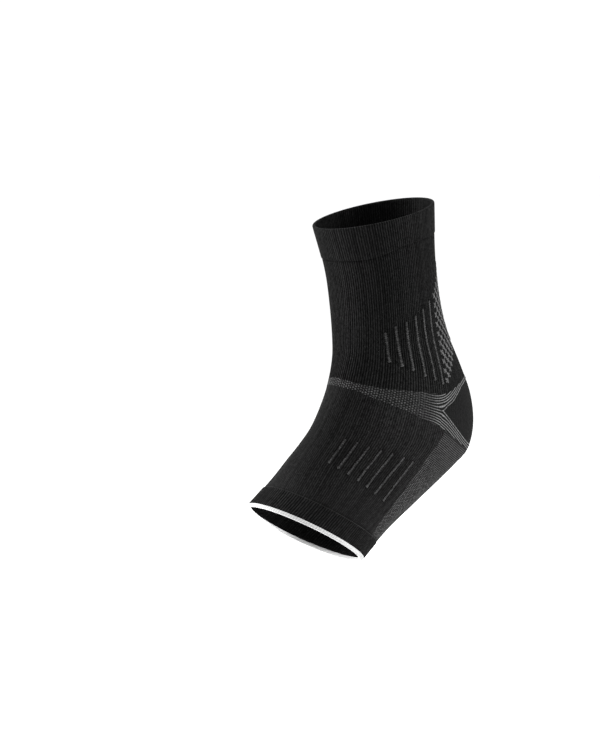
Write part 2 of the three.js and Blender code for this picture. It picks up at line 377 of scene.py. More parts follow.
# %% [markdown]
# ## From stitches to meshes
#
# A zone of the knit is a grid: columns follow the wales and rows follow the courses. It has an outside and
# an inside, and rows of faces that close it at the edges, so each piece is a solid wall, as real cloth is.
# Where the grid shrinks to a point or is cut by a line, corners fall together and are welded.
#
# Each corner of a face also carries two maps. One counts wales and courses, for the finish. The other lays
# the whole wall out flat without overlaps, which the export needs to bake the finish sharply.

# %% A grid of places
STITCH_MAP = "stitches"
FLAT_MAP = "OFBake"
COURSE = 0.00085
OUTSIDE, EDGE, INSIDE, SIDES = range(4)
RIM_REACH = 0.004  # this near to an opening the wall turns into line with it


def flat_rim(out, opening, near):
    """The directions out, turned into the plane of an opening where near is 1."""
    across = unit(surface(0.0, opening) - surface(180.0, opening))
    plane = np.cross([1.0, 0.0, 0.0], across)
    flat = out - ((out @ plane) * near)[..., None] * plane
    return flat / (flat**2).sum(-1, keepdims=True)


def out_of_knit(turn, down):
    length = walked(turn, down)
    left = walked(turn, TOE_OPENING) - length
    out = flat_rim(unit(np.cross(*short_steps(turn, down))), 0.0, 1 - ease(0, RIM_REACH, length))
    return flat_rim(out, float(TOE_OPENING), 1 - ease(0, RIM_REACH, left))


def knit_points(turn, down, lift):
    """Places at a height off the surface of the sleeve."""
    return surface(turn, down) + out_of_knit(turn, down) * lift[..., None]


def corners(grid):
    """The four corners of each cell of one or more grids, anticlockwise from outside."""
    above, below = grid[..., :-1, :], grid[..., 1:, :]
    around = [above[..., :-1], below[..., :-1], below[..., 1:], above[..., 1:]]
    return np.stack(around, -1).reshape(-1, 4)


def parts_of(points, faces, stitches, flat, kind, inner):
    """What a piece is made from: its points, and its faces with their two maps and their kind."""
    maps = {STITCH_MAP: np.stack(stitches, -1), FLAT_MAP: np.stack(flat, -1)}
    return {"points": points, "faces": faces, **maps, "kind": kind, "inner": inner}


def wall(turn, down, lift, kinds, closed=True):
    """A closed wall of knit from a loop of rows, which runs down its outside and back up its inside. Kinds
    says what each row of faces is, and the last row closes the loop."""
    height, width = turn.shape
    number = np.arange(height * width).reshape(height, width)
    course = walked(turn, down) / COURSE
    wale = rib_number(turn)
    if closed:
        number, course = (np.hstack([grid, grid[:, :1]]) for grid in (number, course))
        wale = np.hstack([wale, wale[:, :1] + RIBS])
    number, course, wale = (np.vstack([grid, grid[:1]]) for grid in (number, course, wale))
    room = 1 if closed else 0.97
    across, along = np.meshgrid(np.linspace(0, room, wale.shape[1]), np.linspace(0, 1, height + 1))
    made = parts_of(
        knit_points(turn, down, lift).reshape(-1, 3),
        corners(number),
        (corners(wale), corners(course)),
        (corners(across), corners(along)),
        np.repeat(kinds, wale.shape[1] - 1),
        ease(0.0003, 0.0013, -lift).ravel(),
    )
    return made if closed else with_ends(made, number, wale, course)


def with_ends(made, number, wale, course):
    """Closes the two ends of a wall that doesn't go all round. It has as many rows inside as outside."""
    outer = np.arange(len(number) // 2 - 1)
    inner = len(number) - 2 - outer
    for column, order, strip in ((0, (1, 0, 2, 3), (0.975, 0.985)), (-1, (0, 1, 3, 2), (0.99, 1.0))):
        rows = np.stack([outer, outer + 1, inner, inner - 1], 1)[:, order]
        aside = np.broadcast_to([strip[0], strip[0], strip[1], strip[1]], rows.shape)
        along = (outer[:, None] + np.array([0, 1, 0, 1])[list(order)]) / len(outer)
        ends = parts_of(
            made["points"][:0],
            number[rows, column],
            (wale[rows, column], course[rows, column]),
            (aside, along),
            np.full(len(outer), SIDES),
            made["inner"][:0],
        )
        made = {key: np.concatenate([made[key], ends[key]]) for key in made}
    return made


def there_and_back(rows_out, rows_in):
    """How far down a zone each of its rows lies, on the outside and then on the inside."""
    return np.concatenate([np.linspace(0, 1, rows_out), np.linspace(1, 0, rows_in)])[:, None]


def zone(turn, top, base, rows_out, rows_in, relief):
    """The loop of rows of a zone between two lines, with the height of its outside and inside."""
    share = there_and_back(rows_out, rows_in)
    turn = turn + 0 * share
    down = top + (base - top) * share
    lift = np.concatenate([relief(turn[:rows_out], down[:rows_out]), lining(turn[rows_out:])])
    kinds = [OUTSIDE] * (rows_out - 1) + [EDGE] + [INSIDE] * (rows_in - 1) + [EDGE]
    return turn, down, lift, kinds


print("A course is", COURSE * 1000, "mm")

# %% A piece of the object
WELD = 1e-7
triangle_total = 0


def sharpen(mesh, kind):
    """Marks the edges between faces of two kinds, so that the edges of the wall stay crisp."""
    edges = np.empty(len(mesh.loops), np.int32)
    mesh.loops.foreach_get("edge_index", edges)
    low, high = np.full(len(mesh.edges), SIDES), np.zeros(len(mesh.edges), int)
    np.minimum.at(low, edges, kind)
    np.maximum.at(high, edges, kind)
    mesh.attributes.new("sharp_edge", "BOOLEAN", "EDGE").data.foreach_set("value", low != high)


def make_piece(name, parts, material, slot, stands_for=(), **values):
    """One object from its faces, welded where corners meet. Values are numbers kept at each point."""
    global triangle_total
    places = np.round(parts["points"] / WELD).astype(np.int64)
    _, first, shared = np.unique(places, axis=0, return_index=True, return_inverse=True)
    faces = shared.reshape(-1)[parts["faces"]]
    kept = faces != np.roll(faces, -1, axis=1)
    real = kept.sum(1) > 2
    kept &= real[:, None]
    sizes = kept.sum(1)[real]
    mesh = bpy.data.meshes.new(name)
    mesh.vertices.add(len(first))
    mesh.vertices.foreach_set("co", parts["points"][first].astype(np.float32).ravel())
    mesh.loops.add(int(sizes.sum()))
    mesh.loops.foreach_set("vertex_index", faces[kept].astype(np.int32))
    mesh.polygons.add(len(sizes))
    mesh.polygons.foreach_set("loop_start", (np.cumsum(sizes) - sizes).astype(np.int32))
    mesh.update(calc_edges=True)
    for layer in (FLAT_MAP, STITCH_MAP):
        flat = mesh.uv_layers.new(name=layer)
        flat.uv.foreach_set("vector", parts[layer][kept].astype(np.float32).ravel())
    for label, number in {"inner": parts["inner"], **values}.items():
        data = mesh.attributes.new(label, "FLOAT", "POINT").data
        data.foreach_set("value", np.asarray(number).reshape(-1)[first].astype(np.float32))
    mesh.polygons.foreach_set("use_smooth", np.ones(len(sizes), bool))
    sharpen(mesh, np.repeat(parts["kind"][real], sizes))
    mesh.materials.append(material)
    piece = add_object(name, mesh)
    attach(piece, "root")
    if stands_for:
        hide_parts(*stands_for)
    triangles = int((sizes - 2).sum())
    triangle_total += triangles
    print(f"{name}: {triangles} triangles")


# %% [markdown]
# ## Writing a finish
#
# A finish is a node tree, and node trees are hard to read as wires. The class below wraps one socket, so
# that sums on sockets can be written as Python sums. Each operator adds a Math node. Everything else, from
# a noise to a bump, comes from one method that takes the node's type, its settings and its inputs.


# %% Sockets as numbers
class Strand:
    """A value in a finish that changes over the surface. Sums with it add Math nodes."""

    def __init__(self, finish, socket):
        self.finish, self.socket = finish, socket

    def math(self, operation, *others):
        inputs = dict(enumerate((self, *others)))
        return self.finish.node("Math", {"operation": operation}, inputs)

    def __add__(self, other):
        return self.math("ADD", other)

    def __mul__(self, other):
        return self.math("MULTIPLY", other)

    def __sub__(self, other):
        return self.math("SUBTRACT", other)

    def __rsub__(self, other):
        return self.finish.node("Math", {"operation": "SUBTRACT"}, {0: other, 1: self})

    def __pow__(self, other):
        return self.math("POWER", other)

    __radd__ = __add__
    __rmul__ = __mul__


class Finish:
    """One material, as a Principled shader and the nodes that feed it."""

    def __init__(self, name, fixed):
        self.material = bpy.data.materials.new(name)
        self.material.use_nodes = True
        self.tree = self.material.node_tree
        self.shader = self.tree.nodes["Principled BSDF"]
        self.paint(fixed)

    def node(self, kind, settings=None, inputs=None, output=0):
        node = self.tree.nodes.new("ShaderNode" + kind)
        for label, value in (settings or {}).items():
            setattr(node, label, value)
        for label, value in (inputs or {}).items():
            self.feed(node.inputs[label], value)
        return Strand(self, node.outputs[output])

    def feed(self, socket, value):
        if isinstance(value, Strand):
            self.tree.links.new(value.socket, socket)
        else:
            socket.default_value = value

    def mix(self, share, first, second):
        """From one colour to another."""
        return self.node("Mix", {"data_type": "RGBA"}, {0: share, 6: first, 7: second}, output=2)

    def attribute(self, label):
        return self.node("Attribute", {"attribute_name": label}, output=2)

    def paint(self, inputs):
        for label, value in inputs.items():
            self.feed(self.shader.inputs[label], value)

    def knitted(self, colour, rough, height, depth):
        """Paints what every knit has: a colour, a roughness and the bump of its yarn."""
        bump = self.node("Bump", None, {"Strength": 1.0, "Distance": depth, "Height": height})
        self.paint({"Base Color": colour, "Roughness": rough, "Normal": bump})
        return self.material


def grey(level):
    """A neutral colour from its 0 to 255 level on a screen, as light."""
    share = level / 255
    light = share / 12.92 if share < 0.04045 else ((share + 0.055) / 1.055) ** 2.4
    return (light, light, light, 1)


print("A screen grey of 28 is", round(grey(28)[0], 4), "of the light")

# %% [markdown]
# ## Stitches, as a finish
#
# In plain knitting each stitch shows as a V: two legs of yarn that start in the middle of the wale and lean
# out to its grooves. The stitch map gives the rib and the course as numbers, so the fraction of the rib
# says where we are across it, and the fraction of the course, shifted by that, follows the legs. No two
# stitches catch the light alike, so each also gets a number of its own from its rib and course.


# %% The V of a stitch
class Stitches:
    """How lit a place is across its rib, the height of its yarn, chances for its stitch and its rib, and the
    short streaks where a few stitches of a wale lie looser and catch more light."""

    def __init__(self, finish, slant=0.7, fineness=1.0):
        place = finish.node("UVMap", {"uv_map": STITCH_MAP})
        wale = finish.node("SeparateXYZ", None, {0: place}) * fineness
        course = finish.node("SeparateXYZ", None, {0: place}, output=1)
        aside = (wale.math("FRACT") - 0.5) * 2
        across = aside.math("ABSOLUTE")
        run = course + across * slant
        leg = (run.math("FRACT") * math.pi).math("SINE") ** 0.7
        self.rib = wale.math("FLOOR")
        own = finish.node("CombineXYZ", None, {0: self.rib, 1: run.math("FLOOR"), 2: aside.math("SIGN")})
        # Painted shade: crest is 1 on the rib and 0 in the groove, and the finishes draw the groove darker
        # with it.
        self.crest = (across * math.pi).math("COSINE") * 0.5 + 0.5
        self.yarn = leg * (0.4 + self.crest * 0.6)
        self.chance = finish.node("TexWhiteNoise", {"noise_dimensions": "3D"}, {0: own})
        self.rib_chance = finish.node("TexWhiteNoise", {"noise_dimensions": "1D"}, {1: self.rib})
        along = finish.node("CombineXYZ", None, {0: wale * 2.1, 1: course * 0.32})
        streak = finish.node("TexNoise", None, {"Vector": along, "Scale": 1.0, "Detail": 1.0})
        self.streak = ((streak - 0.5) * 4.5 + 1.0).math("MAXIMUM", 0.05)


def wear(finish, scale, detail=3.0):
    """Slow unevenness of the cloth, about 0.5."""
    place = finish.node("TexCoord", None, None, output=3)
    return finish.node("TexNoise", None, {"Vector": place, "Scale": scale, "Detail": detail})


def cloth(name, sheen=0.006):
    return Finish(name, {"Sheen Weight": sheen, "Sheen Roughness": 0.4, "Specular IOR Level": 0.008})


def knit_finish(name, dark, light, groove, depth=0.00015, lively=1.0, fineness=1.0):
    """Knit of one yarn, from the grey in its grooves, darkened as painted shade, to the grey on its ribs."""
    finish = cloth(name)
    knit = Stitches(finish, fineness=fineness)
    plain = finish.attribute("plain")
    # Painted shade: the grooves are drawn darker, less so where the knit is plain.
    groove = (1 - plain * 0.8) * groove
    shade = (1 - groove + knit.crest * groove) * (0.4 + knit.yarn * 0.6)
    shade = shade * (1 - 0.45 * lively + knit.chance * (0.9 * lively))
    shade = shade * (1 - 0.5 * lively + knit.streak * (0.5 * lively)) * (1 - plain * 0.55)
    shade = shade * (1 - 0.3 * lively + knit.rib_chance * (0.6 * lively)) * (0.8 + wear(finish, 45.0) * 0.4)
    # Painted shade by the lines and at the cuff seams, darker knit over the lines, and painted shade inside.
    shade = shade * (1 - finish.attribute("shaded") * 0.7) * (1 - finish.attribute("inner") * 0.2)
    colour = finish.mix(shade, grey(dark), grey(light))
    return finish.knitted(colour, 0.95 - knit.chance * 0.12, knit.yarn + knit.chance * 0.25, depth)


black_knit = knit_finish("black_ribbed_knit", dark=2, light=25, groove=0.8)
foot_knit = knit_finish("black_foot_knit", dark=2, light=28, groove=0.65, fineness=1.26)
cuff_knit = knit_finish("black_cuff_knit", dark=2, light=26, groove=0.75)
heel_knit = knit_finish("plain_heel_knit", dark=5, light=17, groove=0.15, depth=0.0001, lively=0.22)
print("Finishes:", [material.name for material in (black_knit, foot_knit, cuff_knit, heel_knit)])

# %% [markdown]
# ### White yarn
#
# The edge at the toes is knitted from a thicker white yarn, in small round stitches. It shows hardly any
# grooves. It is drawn a little whiter inside as painted light, where less light falls, and darker under the
# foot as painted shade, where more comes up from the floor.


# %% White yarn
def white_finish(name, dark, light, inside):
    finish = cloth(name, 0.0)
    knit = Stitches(finish, slant=0.3)
    shade = (0.35 + knit.yarn * 0.65) * (0.8 + knit.chance * 0.3)
    outside = finish.mix(shade, grey(dark), grey(light))
    # Painted light: the inside is drawn whiter, where less light falls.
    either = finish.mix(finish.attribute("inner"), outside, grey(inside))
    # Painted shade: darker under the foot, where more light comes up from the floor.
    colour = finish.mix(finish.attribute("shaded") * 0.45, either, grey(dark))
    return finish.knitted(colour, 0.9 - knit.chance * 0.1, knit.yarn, 0.0001)


white_knit = white_finish("white_edge_knit", dark=112, light=160, inside=214)

# %% [markdown]
# ### Grey melange
#
# The strap and the sole are knitted from a light and a dark yarn. Over the instep the light yarn comes to
# the front in single stitches, staggered from rib to rib. Towards the heel it lies on top for whole courses,
# and the cloth shows fine light lines. So the finish mixes dots and lines, and a number on the mesh says
# how much of each.


# %% Melange and light yarn
def melange_finish(name, dark, light):
    finish = cloth(name)
    knit = Stitches(finish)
    line = finish.attribute("line")

    def waves(number):
        """1 at each whole number and 0 between them."""
        return (number * (2 * math.pi)).math("COSINE") * 0.5 + 0.5

    dots = waves(line + knit.rib * 0.5 + knit.rib_chance * 0.3)
    dots = dots * (0.2 + knit.crest * 0.8) * (knit.chance + knit.streak * 0.5)
    ridge = waves(line) ** 3.0
    lined = finish.attribute("lined")
    broken = (1 - lined) * 0.5
    ridge = ridge * (1 - broken + knit.crest * broken) * (0.7 + knit.chance * 0.3 + knit.streak * 0.3)
    share = (dots * (1 - lined) + ridge * lined) * (0.7 + wear(finish, 60.0) * 0.6)
    share = share * (1 - finish.attribute("dim"))
    # On the sole: darker by the strap and the toe cuff seam. Inside the wall: painted shade.
    share = share * (1 - finish.attribute("shaded") * 0.7) * (1 - finish.attribute("inner") * 0.6)
    colour = finish.mix(share, grey(dark), grey(light))
    return finish.knitted(colour, 0.95 - knit.chance * 0.1, knit.yarn + share, 0.00012)


def yarn_finish(name, dark, light):
    """Thick light yarn, for what stands out of the knit."""
    finish = cloth(name)
    knit = Stitches(finish, slant=0.8)
    share = (0.3 + knit.yarn * 0.7) * (0.25 + knit.crest * 0.75) * (0.3 + knit.chance)
    share = share * (1 + finish.attribute("knob") * 0.8)
    colour = finish.mix(share, grey(dark), grey(light))
    return finish.knitted(colour, 0.95 - knit.chance * 0.1, knit.yarn, 0.00012)


melange_knit = melange_finish("grey_melange_knit", dark=11, light=81)
line_yarn = yarn_finish("grey_line_yarn", dark=10, light=50)
cross_yarn = yarn_finish("grey_cross_yarn", dark=13, light=70)
gore_yarn = yarn_finish("light_gore_yarn", dark=30, light=95)
seam_yarn = yarn_finish("dark_seam_yarn", dark=12, light=46)

# %% [markdown]
# ## The leg cuff
#
# The cuff is knitted twice as long and folded, so its top is a round fold and its lower edge is a small step
# down to the leg. The outline of its wall is drawn once, as lengths from the opening and heights off the
# surface, and swept round every wale.

# %% Rows of a cuff
LIP = 0.00035
FOLD = CUFF_WALL / 2  # radius
ring = TURNS[:-1]
crest = ribs(ring)


def step_rows(depth, steps=4):
    """The small round step at the seam of a cuff, from the knit beside it up to the face of the cuff."""
    angle = np.linspace(0, np.pi / 2, steps)[:, None]
    return depth - LIP * (1 - np.cos(angle)), CUFF_RISE - LIP * (1 - np.sin(angle))


def fold_rows(rise, steps=9):
    """Round the fold at an opening, from its outside at that height to its inside."""
    angle = np.linspace(np.pi / 2, -np.pi / 2, steps)[:, None]
    return FOLD * (1 - np.cos(angle)), rise - FOLD + FOLD * np.sin(angle)


def between(start, end, rows):
    """Rows from one to another, without those two."""
    return blend(start, end, np.linspace(0, 1, rows + 2)[1:-1, None])


def stacked(*rows):
    """Rows of lengths and rows of heights, one under another. A height may be one number."""
    lengths = [np.atleast_2d(length) + 0 * ring for length, _ in rows]
    heights = [height + 0 * length for length, (_, height) in zip(lengths, rows)]
    return np.concatenate(lengths), np.concatenate(heights)


def ring_wall(down, heights):
    """A wall that goes all round, from its outline."""
    return wall(ring + 0 * down, down, heights, [OUTSIDE] * (len(down) - 1) + [EDGE])


# %% The leg cuff
depth = leg_seam_length(ring)
lengths, heights = stacked(
    step_rows(depth),
    (between(depth - LIP, FOLD, 18), CUFF_RISE),
    fold_rows(CUFF_RISE),
    (between(FOLD, depth, 12), CUFF_RISE - CUFF_WALL),
    (depth, CUFF_RISE - CUFF_WALL),
)
leg_cuff = ring_wall(down_at(ring, lengths)[::-1], (heights + crest)[::-1])
make_piece("leg_cuff_knit", leg_cuff, cuff_knit, "cuff_knit", ["leg_cuff"])
print("Cuff depth at the front", round(float(leg_seam_length(0)) * 1000, 1), "mm")

# %% [markdown]
# ## The leg
#
# Below the cuff the leg is ribbed. On each side six raised lines run down to the ankle, each in a shallow
# channel with painted shade, and a field of small crosses lies behind them. Under the field the knit is
# plain.
# All of this is relief on one tube, so it is one function of the place, and the lines and crosses are laid
# on it afterwards as yarn.

# %% Lines and the field of crosses
PER_DEGREE = 0.00072  # length of knit round the sleeve, on average
LINE_PITCH = 0.0015
CHANNEL = 0.0012
LEG_CHANNEL_DEPTH = 0.0003
FOOT_CHANNEL_DEPTH = 0.00022
SEAM_GROOVE = 0.0003

# Turn at the top and at the base, sections down at the top and at the base
LEG_LINES = [
    (51.5, 55.0, 2.62, 3.68),
    (62.0, 66.5, 2.50, 3.88),
    (73.5, 76.5, 2.43, 4.05),
    (84.5, 87.0, 2.33, 4.28),
    (95.0, 96.5, 2.20, 4.42),
    (106.0, 104.0, 2.05, 4.58),
]
FOOT_LINES = [
    (37.5, 36.5, 7.28, 8.75),
    (47.5, 46.0, 7.35, 8.97),
    (57.0, 55.5, 7.48, 9.18),
    (66.5, 65.0, 7.60, 9.40),
    (75.5, 74.0, 7.70, 9.62),
    (85.0, 83.5, 7.83, 9.85),
    (93.5, 94.5, 8.00, 10.05),
]


def channels(turn, down, lines):
    """1 in the middle of a raised line's channel, and 0 away from it."""
    deepest = 0
    for turn_top, turn_base, top, base in lines:
        share = (down - top) / (base - top)
        middle = turn_top + (turn_base - turn_top) * np.clip(share, 0, 1)
        aside = (one_side(turn) - middle) * PER_DEGREE / CHANNEL
        ends = ease(-0.04, 0.01, share) * (1 - ease(0.99, 1.04, share))
        deepest = np.maximum(deepest, np.exp(-(aside**2)) * ends)
    return deepest


def block(turn, down, lines):
    """1 within the whole group of lines, and 0 outside it."""
    first, last = lines[0], lines[-1]
    share = (one_side(turn) - first[0]) / (last[0] - first[0])
    top = first[2] + (last[2] - first[2]) * share
    base = first[3] + (last[3] - first[3]) * share
    inside = ease(-0.1, 0.05, share) * (1 - ease(0.95, 1.1, share))
    return inside * ease(-0.08, 0.08, down - top) * (1 - ease(-0.08, 0.08, down - base))


def lines_shade(turn, down, lines, all_over):
    """Painted shade in the channels, and darker knit all over the group of lines."""
    return np.maximum(channels(turn, down, lines), all_over * block(turn, down, lines))


CROSS_ROWS = 10
CROSS_PITCH = 0.0067
CROSS_COLUMNS = 14  # from the front of the field to the middle of the back
CROSS_RISE = 0.44  # of a pitch, from one column to the next
FIELD_START = 0.0599  # length of knit from the leg opening to its first cross
FIELD_CEILING = 0.032
field_front = curve([0.060, 0.090, 0.120], [116.5, 114.5, 109.5])
first_spacing = curve([0.088, 0.103], [1.0, 0.66])  # of the mean spacing of the columns


def field_turn(column, length):
    """Where a column of crosses lies. Low on the ankle the first columns are closer together."""
    front, share, start = field_front(length), column / CROSS_COLUMNS, first_spacing(length)
    return front + (180 - front) * (share * start + share**2 * (1 - start))


def field_column(turn, length):
    """Columns of crosses from the front of the field."""
    front, start = field_front(length), first_spacing(length)
    share = (one_side(turn) - front) / (180 - front)
    spread = np.maximum(1 - start, 1e-6)
    curved = (np.sqrt(np.maximum(start**2 + 4 * spread * share, 0)) - start) / (2 * spread)
    return np.where(share > 0, curved, share) * CROSS_COLUMNS


def plain_share(turn, length):
    """1 where the knit below the crosses is plain."""
    column = field_column(turn, length)
    last = FIELD_START + (CROSS_ROWS - 1 - column * CROSS_RISE) * CROSS_PITCH
    return ease(-0.6, 0.3, column) * ease(0.0, 0.004, length - last)


def leg_relief(turn, down):
    length = walked(turn, down)
    plain = plain_share(turn, length)
    under_cuff = 1 - ease(0, 0.0007, length - leg_seam_length(turn))
    sunk = LEG_CHANNEL_DEPTH * channels(turn, down, LEG_LINES) + SEAM_GROOVE * under_cuff
    return ribs(turn) * (1 - 0.8 * plain) - sunk


def seam_shade(turn, length):
    """Painted shade in the groove under the cuff, which is deepest in front."""
    near = 1 - ease(0.0004, 0.0016, length - leg_seam_length(turn))
    return near * (1 - 0.75 * ease(30, 70, one_side(turn)))


# %% The leg panel
leg_top = down_at(ring, leg_seam_length(ring))[0]
leg = zone(ring, leg_top, STRAP_TOP(ring), 74, 28, leg_relief)
leg_turn, leg_down = leg[:2]
length = walked(leg_turn, leg_down)
make_piece(
    "leg_panel_knit",
    wall(*leg),
    black_knit,
    "ribbed_knit",
    ["leg_panel"],
    # Painted shade in the channels and under the cuff, and darker knit over the group of lines.
    shaded=np.maximum(lines_shade(leg_turn, leg_down, LEG_LINES, 0.35), 1.2 * seam_shade(leg_turn, length)),
    plain=plain_share(leg_turn, length),
)

# %% [markdown]
# ## The strap
#
# The grey wedge starts narrow on the instep, widens to the side and forks round the heel cup. It is knitted
# as short rows: courses that end before they get to the front. Behind, they show as ridges that follow the
# two branches. The wall is made as an upper and a lower ring. Over the instep the two share their middle
# line and are welded there, and behind the fork each closes by itself.

# %% Two rings that part at the fork
UPPER_LINES = 8
LOWER_LINES = 7
ROWS_PER_LINE = 5
SHORT_ROW = 0.00165  # from one light course to the next
LINE_HEIGHT = 0.0003
BLEND = 18  # columns of the mesh over which the courses bend at the fork
STRAIGHTER = 3.0  # lines from the cup after which a course no longer follows the corner at the fork


strap_ring = np.sort(np.append(ring, [FORK, 360 - FORK]))


def strap_dim(side):
    """How far the light yarn is pulled back from the face: most on the side, and hardly at the fork."""
    return 0.4 + 0.2 * ease(35, 55, side) - 0.55 * ease(88, 104, side)


def smooth_round(values):
    """The same values round the ring, with their corners rounded off."""
    box = np.full(2 * BLEND + 1, 1 / (2 * BLEND + 1))
    return np.convolve(np.pad(values, BLEND, mode="wrap"), box, "valid")


def lines_across(top, base):
    """How many light courses lie across one half of the strap, at the same distance from each other."""
    middle = (top + base) / 2
    along = unit(np.gradient(surface(strap_ring, middle), axis=0))
    wale = unit(short_steps(strap_ring, middle)[0])
    square = smooth_round(np.linalg.norm(np.cross(along, wale), axis=-1))
    return (walked(strap_ring, base) - walked(strap_ring, top)) * square / SHORT_ROW


def corner_off(edge):
    """How far, in lines, an edge with its corner rounded off lies from the edge itself."""
    reached = walked(strap_ring, edge)
    return (reached - smooth_round(smooth_round(reached))) / SHORT_ROW


behind = one_side(strap_ring) > FORK
upper_base = np.where(behind, CUP_TOP(strap_ring), strap_middle(strap_ring))
lower_top = np.where(behind, CUP_BASE(strap_ring), strap_middle(strap_ring))


def strap_half(top, base, lines, middle_is_base):
    """One ring of the strap, and for each point its number of course lines from the middle or the cup."""
    rows_out, rows_in = lines * ROWS_PER_LINE + 1, 8
    share = there_and_back(rows_out, rows_in)
    line = (share - middle_is_base) * lines_across(top, base)
    line = line + corner_off(base if middle_is_base else top) * ease(0, STRAIGHTER, np.abs(line))
    lined = ease(72, 98, one_side(strap_ring))
    ridge = (0.5 + 0.5 * np.cos(2 * np.pi * line[:rows_out])) * LINE_HEIGHT

    def relief(turn, down):
        return ribs(turn) * (1 - lined * 0.9) + (ridge - 0.0001) * lined

    made = wall(*zone(strap_ring, top, base, rows_out, rows_in, relief))
    row, column = np.divmod(np.arange(len(made["faces"])), len(strap_ring))
    middle_row = rows_out - 1 if middle_is_base else rows_out + rows_in - 1
    closes = one_side((strap_ring + np.append(strap_ring[1:], 360)) / 2) >= FORK
    keep = (row != middle_row) | closes[column]
    for key in set(made) - {"points", "inner"}:
        made[key] = made[key][keep]
    return made, line.ravel(), (lined + 0 * line).ravel()


def joined(parts):
    """Several sets of faces as one, each with its share of the flat map."""
    starts = np.cumsum([0] + [len(part["points"]) for part in parts[:-1]])
    for count, part in enumerate(parts):
        part["faces"] = part["faces"] + starts[count]
        part[FLAT_MAP] = (part[FLAT_MAP] + [0, count]) / [1, len(parts)]
    return {key: np.concatenate([part[key] for part in parts]) for key in parts[0]}


# %% The ankle strap
upper = strap_half(STRAP_TOP(strap_ring), upper_base, UPPER_LINES, True)
lower = strap_half(lower_top, STRAP_BASE(strap_ring), LOWER_LINES, False)
halves, line, lined = zip(upper, lower)
line, lined = np.concatenate(line), np.concatenate(lined)
make_piece(
    "ankle_strap_knit",
    joined(halves),
    melange_knit,
    "melange_knit",
    ["ankle_strap"],
    line=line,
    lined=lined,
    dim=np.tile(strap_dim(one_side(strap_ring)), len(line) // len(strap_ring)),
)

# %% [markdown]
# ## The heel cup
#
# The heel sits in a pocket of plain knit, almost without ribs, which feels smooth in a shoe. It is a patch
# that starts at a point at each fork, so its first and last column shrink to nothing and are welded.


# %% The heel cup
def faint_ribs(turn, down):
    return ribs(turn) * 0.2


cup_turns = np.concatenate([[FORK], ring[(ring > FORK) & (ring < 360 - FORK)], [360 - FORK]])
cup_top, cup_base = CUP_TOP(cup_turns), CUP_BASE(cup_turns)
for line in (cup_top, cup_base):
    line[[0, -1]] = strap_middle(FORK)
cup = zone(cup_turns, cup_top, cup_base, 44, 44, faint_ribs)
make_piece("heel_cup_knit", wall(*cup, closed=False), heel_knit, "heel_knit", ["heel_cup"])

# %% [markdown]
# ## Foot and sole
#
# In front of the strap the tube is ribbed on top and grey melange below, and the line between the two runs
# along the side of the foot. The columns stay on the wales, and those beyond the line are pushed back onto
# it, where they fall together and are welded. So the ribs run straight, and the line is a clean one.

# %% Foot and sole grids
FOOT_ROWS = 64
toe_line_table = from_toes(TURNS, toe_seam_length(TURNS))[0]


def toe_line(turn):
    return np.interp(np.asarray(turn) % 360, TURNS, toe_line_table)


def foot_zone(turns, low_side, high_side, relief):
    """The loop of rows of a panel between the strap and the toe cuff, cut by the line along the foot."""
    share = there_and_back(FOOT_ROWS, FOOT_ROWS)
    side = SOLE_SIDE(blend(STRAP_BASE(105.0), toe_line(105.0), share))
    turn = np.clip(turns, low_side(side), high_side(side))
    return zone(turn, STRAP_BASE(turn), toe_line(turn), FOOT_ROWS, FOOT_ROWS, relief)


def by_toe_cuff(turn, down, reach=0.0010):
    """1 at the seam of the toe cuff."""
    return 1 - ease(reach / 3, reach, walked(turn, toe_line(turn)) - walked(turn, down))


def foot_relief(turn, down):
    sunk = FOOT_CHANNEL_DEPTH * channels(turn, down, FOOT_LINES) + SEAM_GROOVE * by_toe_cuff(turn, down)
    return faint_ribs(turn, down) - sunk


SOLE_LINE_PITCH = 0.0014


def sole_line(turn, down):
    return (walked(turn, down) - walked(turn, STRAP_BASE(turn))) / SOLE_LINE_PITCH - 0.5


def sole_lined(line):
    return 0.9 * (1 - ease(4, 34, line))


def sole_relief(turn, down):
    line = sole_line(turn, down)
    lined = sole_lined(line)
    ridge = 0.35 * np.cos(2 * np.pi * line) * LINE_HEIGHT * lined
    return ribs(turn) * (1 - lined * 0.5) + ridge - SEAM_GROOVE * by_toe_cuff(turn, down)


# %% The foot panel and the sole panel
WIDEST_SIDE = 114.5  # the line along the foot lies between these two turns
NARROWEST_SIDE = 102
foot_turns = np.concatenate([ring - 360, ring])
foot_turns = foot_turns[np.abs(foot_turns) < WIDEST_SIDE]
foot = foot_zone(foot_turns, lambda side: -side, lambda side: side, foot_relief)
make_piece(
    "foot_panel_knit",
    wall(*foot, closed=False),
    foot_knit,
    "ribbed_knit",
    ["foot_panel"],
    # Painted shade in the channels and at the toe cuff seam, and darker knit over the group of lines.
    shaded=np.maximum(lines_shade(*foot[:2], FOOT_LINES, 0.3), by_toe_cuff(*foot[:2])),
    plain=0 * foot[0],
)
sole_turns = ring[one_side(ring) > NARROWEST_SIDE]
sole = foot_zone(sole_turns, lambda side: side, lambda side: 360 - side, sole_relief)
sole_lines = sole_line(*sole[:2])
make_piece(
    "sole_panel_knit",
    wall(*sole, closed=False),
    melange_knit,
    "melange_knit",
    ["sole_panel"],
    line=sole_lines,
    lined=sole_lined(sole_lines),
    # Darker next to the strap and by the toe cuff seam.
    shaded=np.maximum(0.9 * (1 - ease(0.2, 1.2, sole_lines)), by_toe_cuff(*sole[:2], 0.0022)),
    dim=0.58 - 0.18 * ease(8, 36, sole_lines),
)

# %% [markdown]
# ## The toe end
#
# The toe cuff is double like the leg's, and its last courses are white. They roll a little, as the edge of a
# knit does, so the white band is round at the opening and shows again inside on the far side.

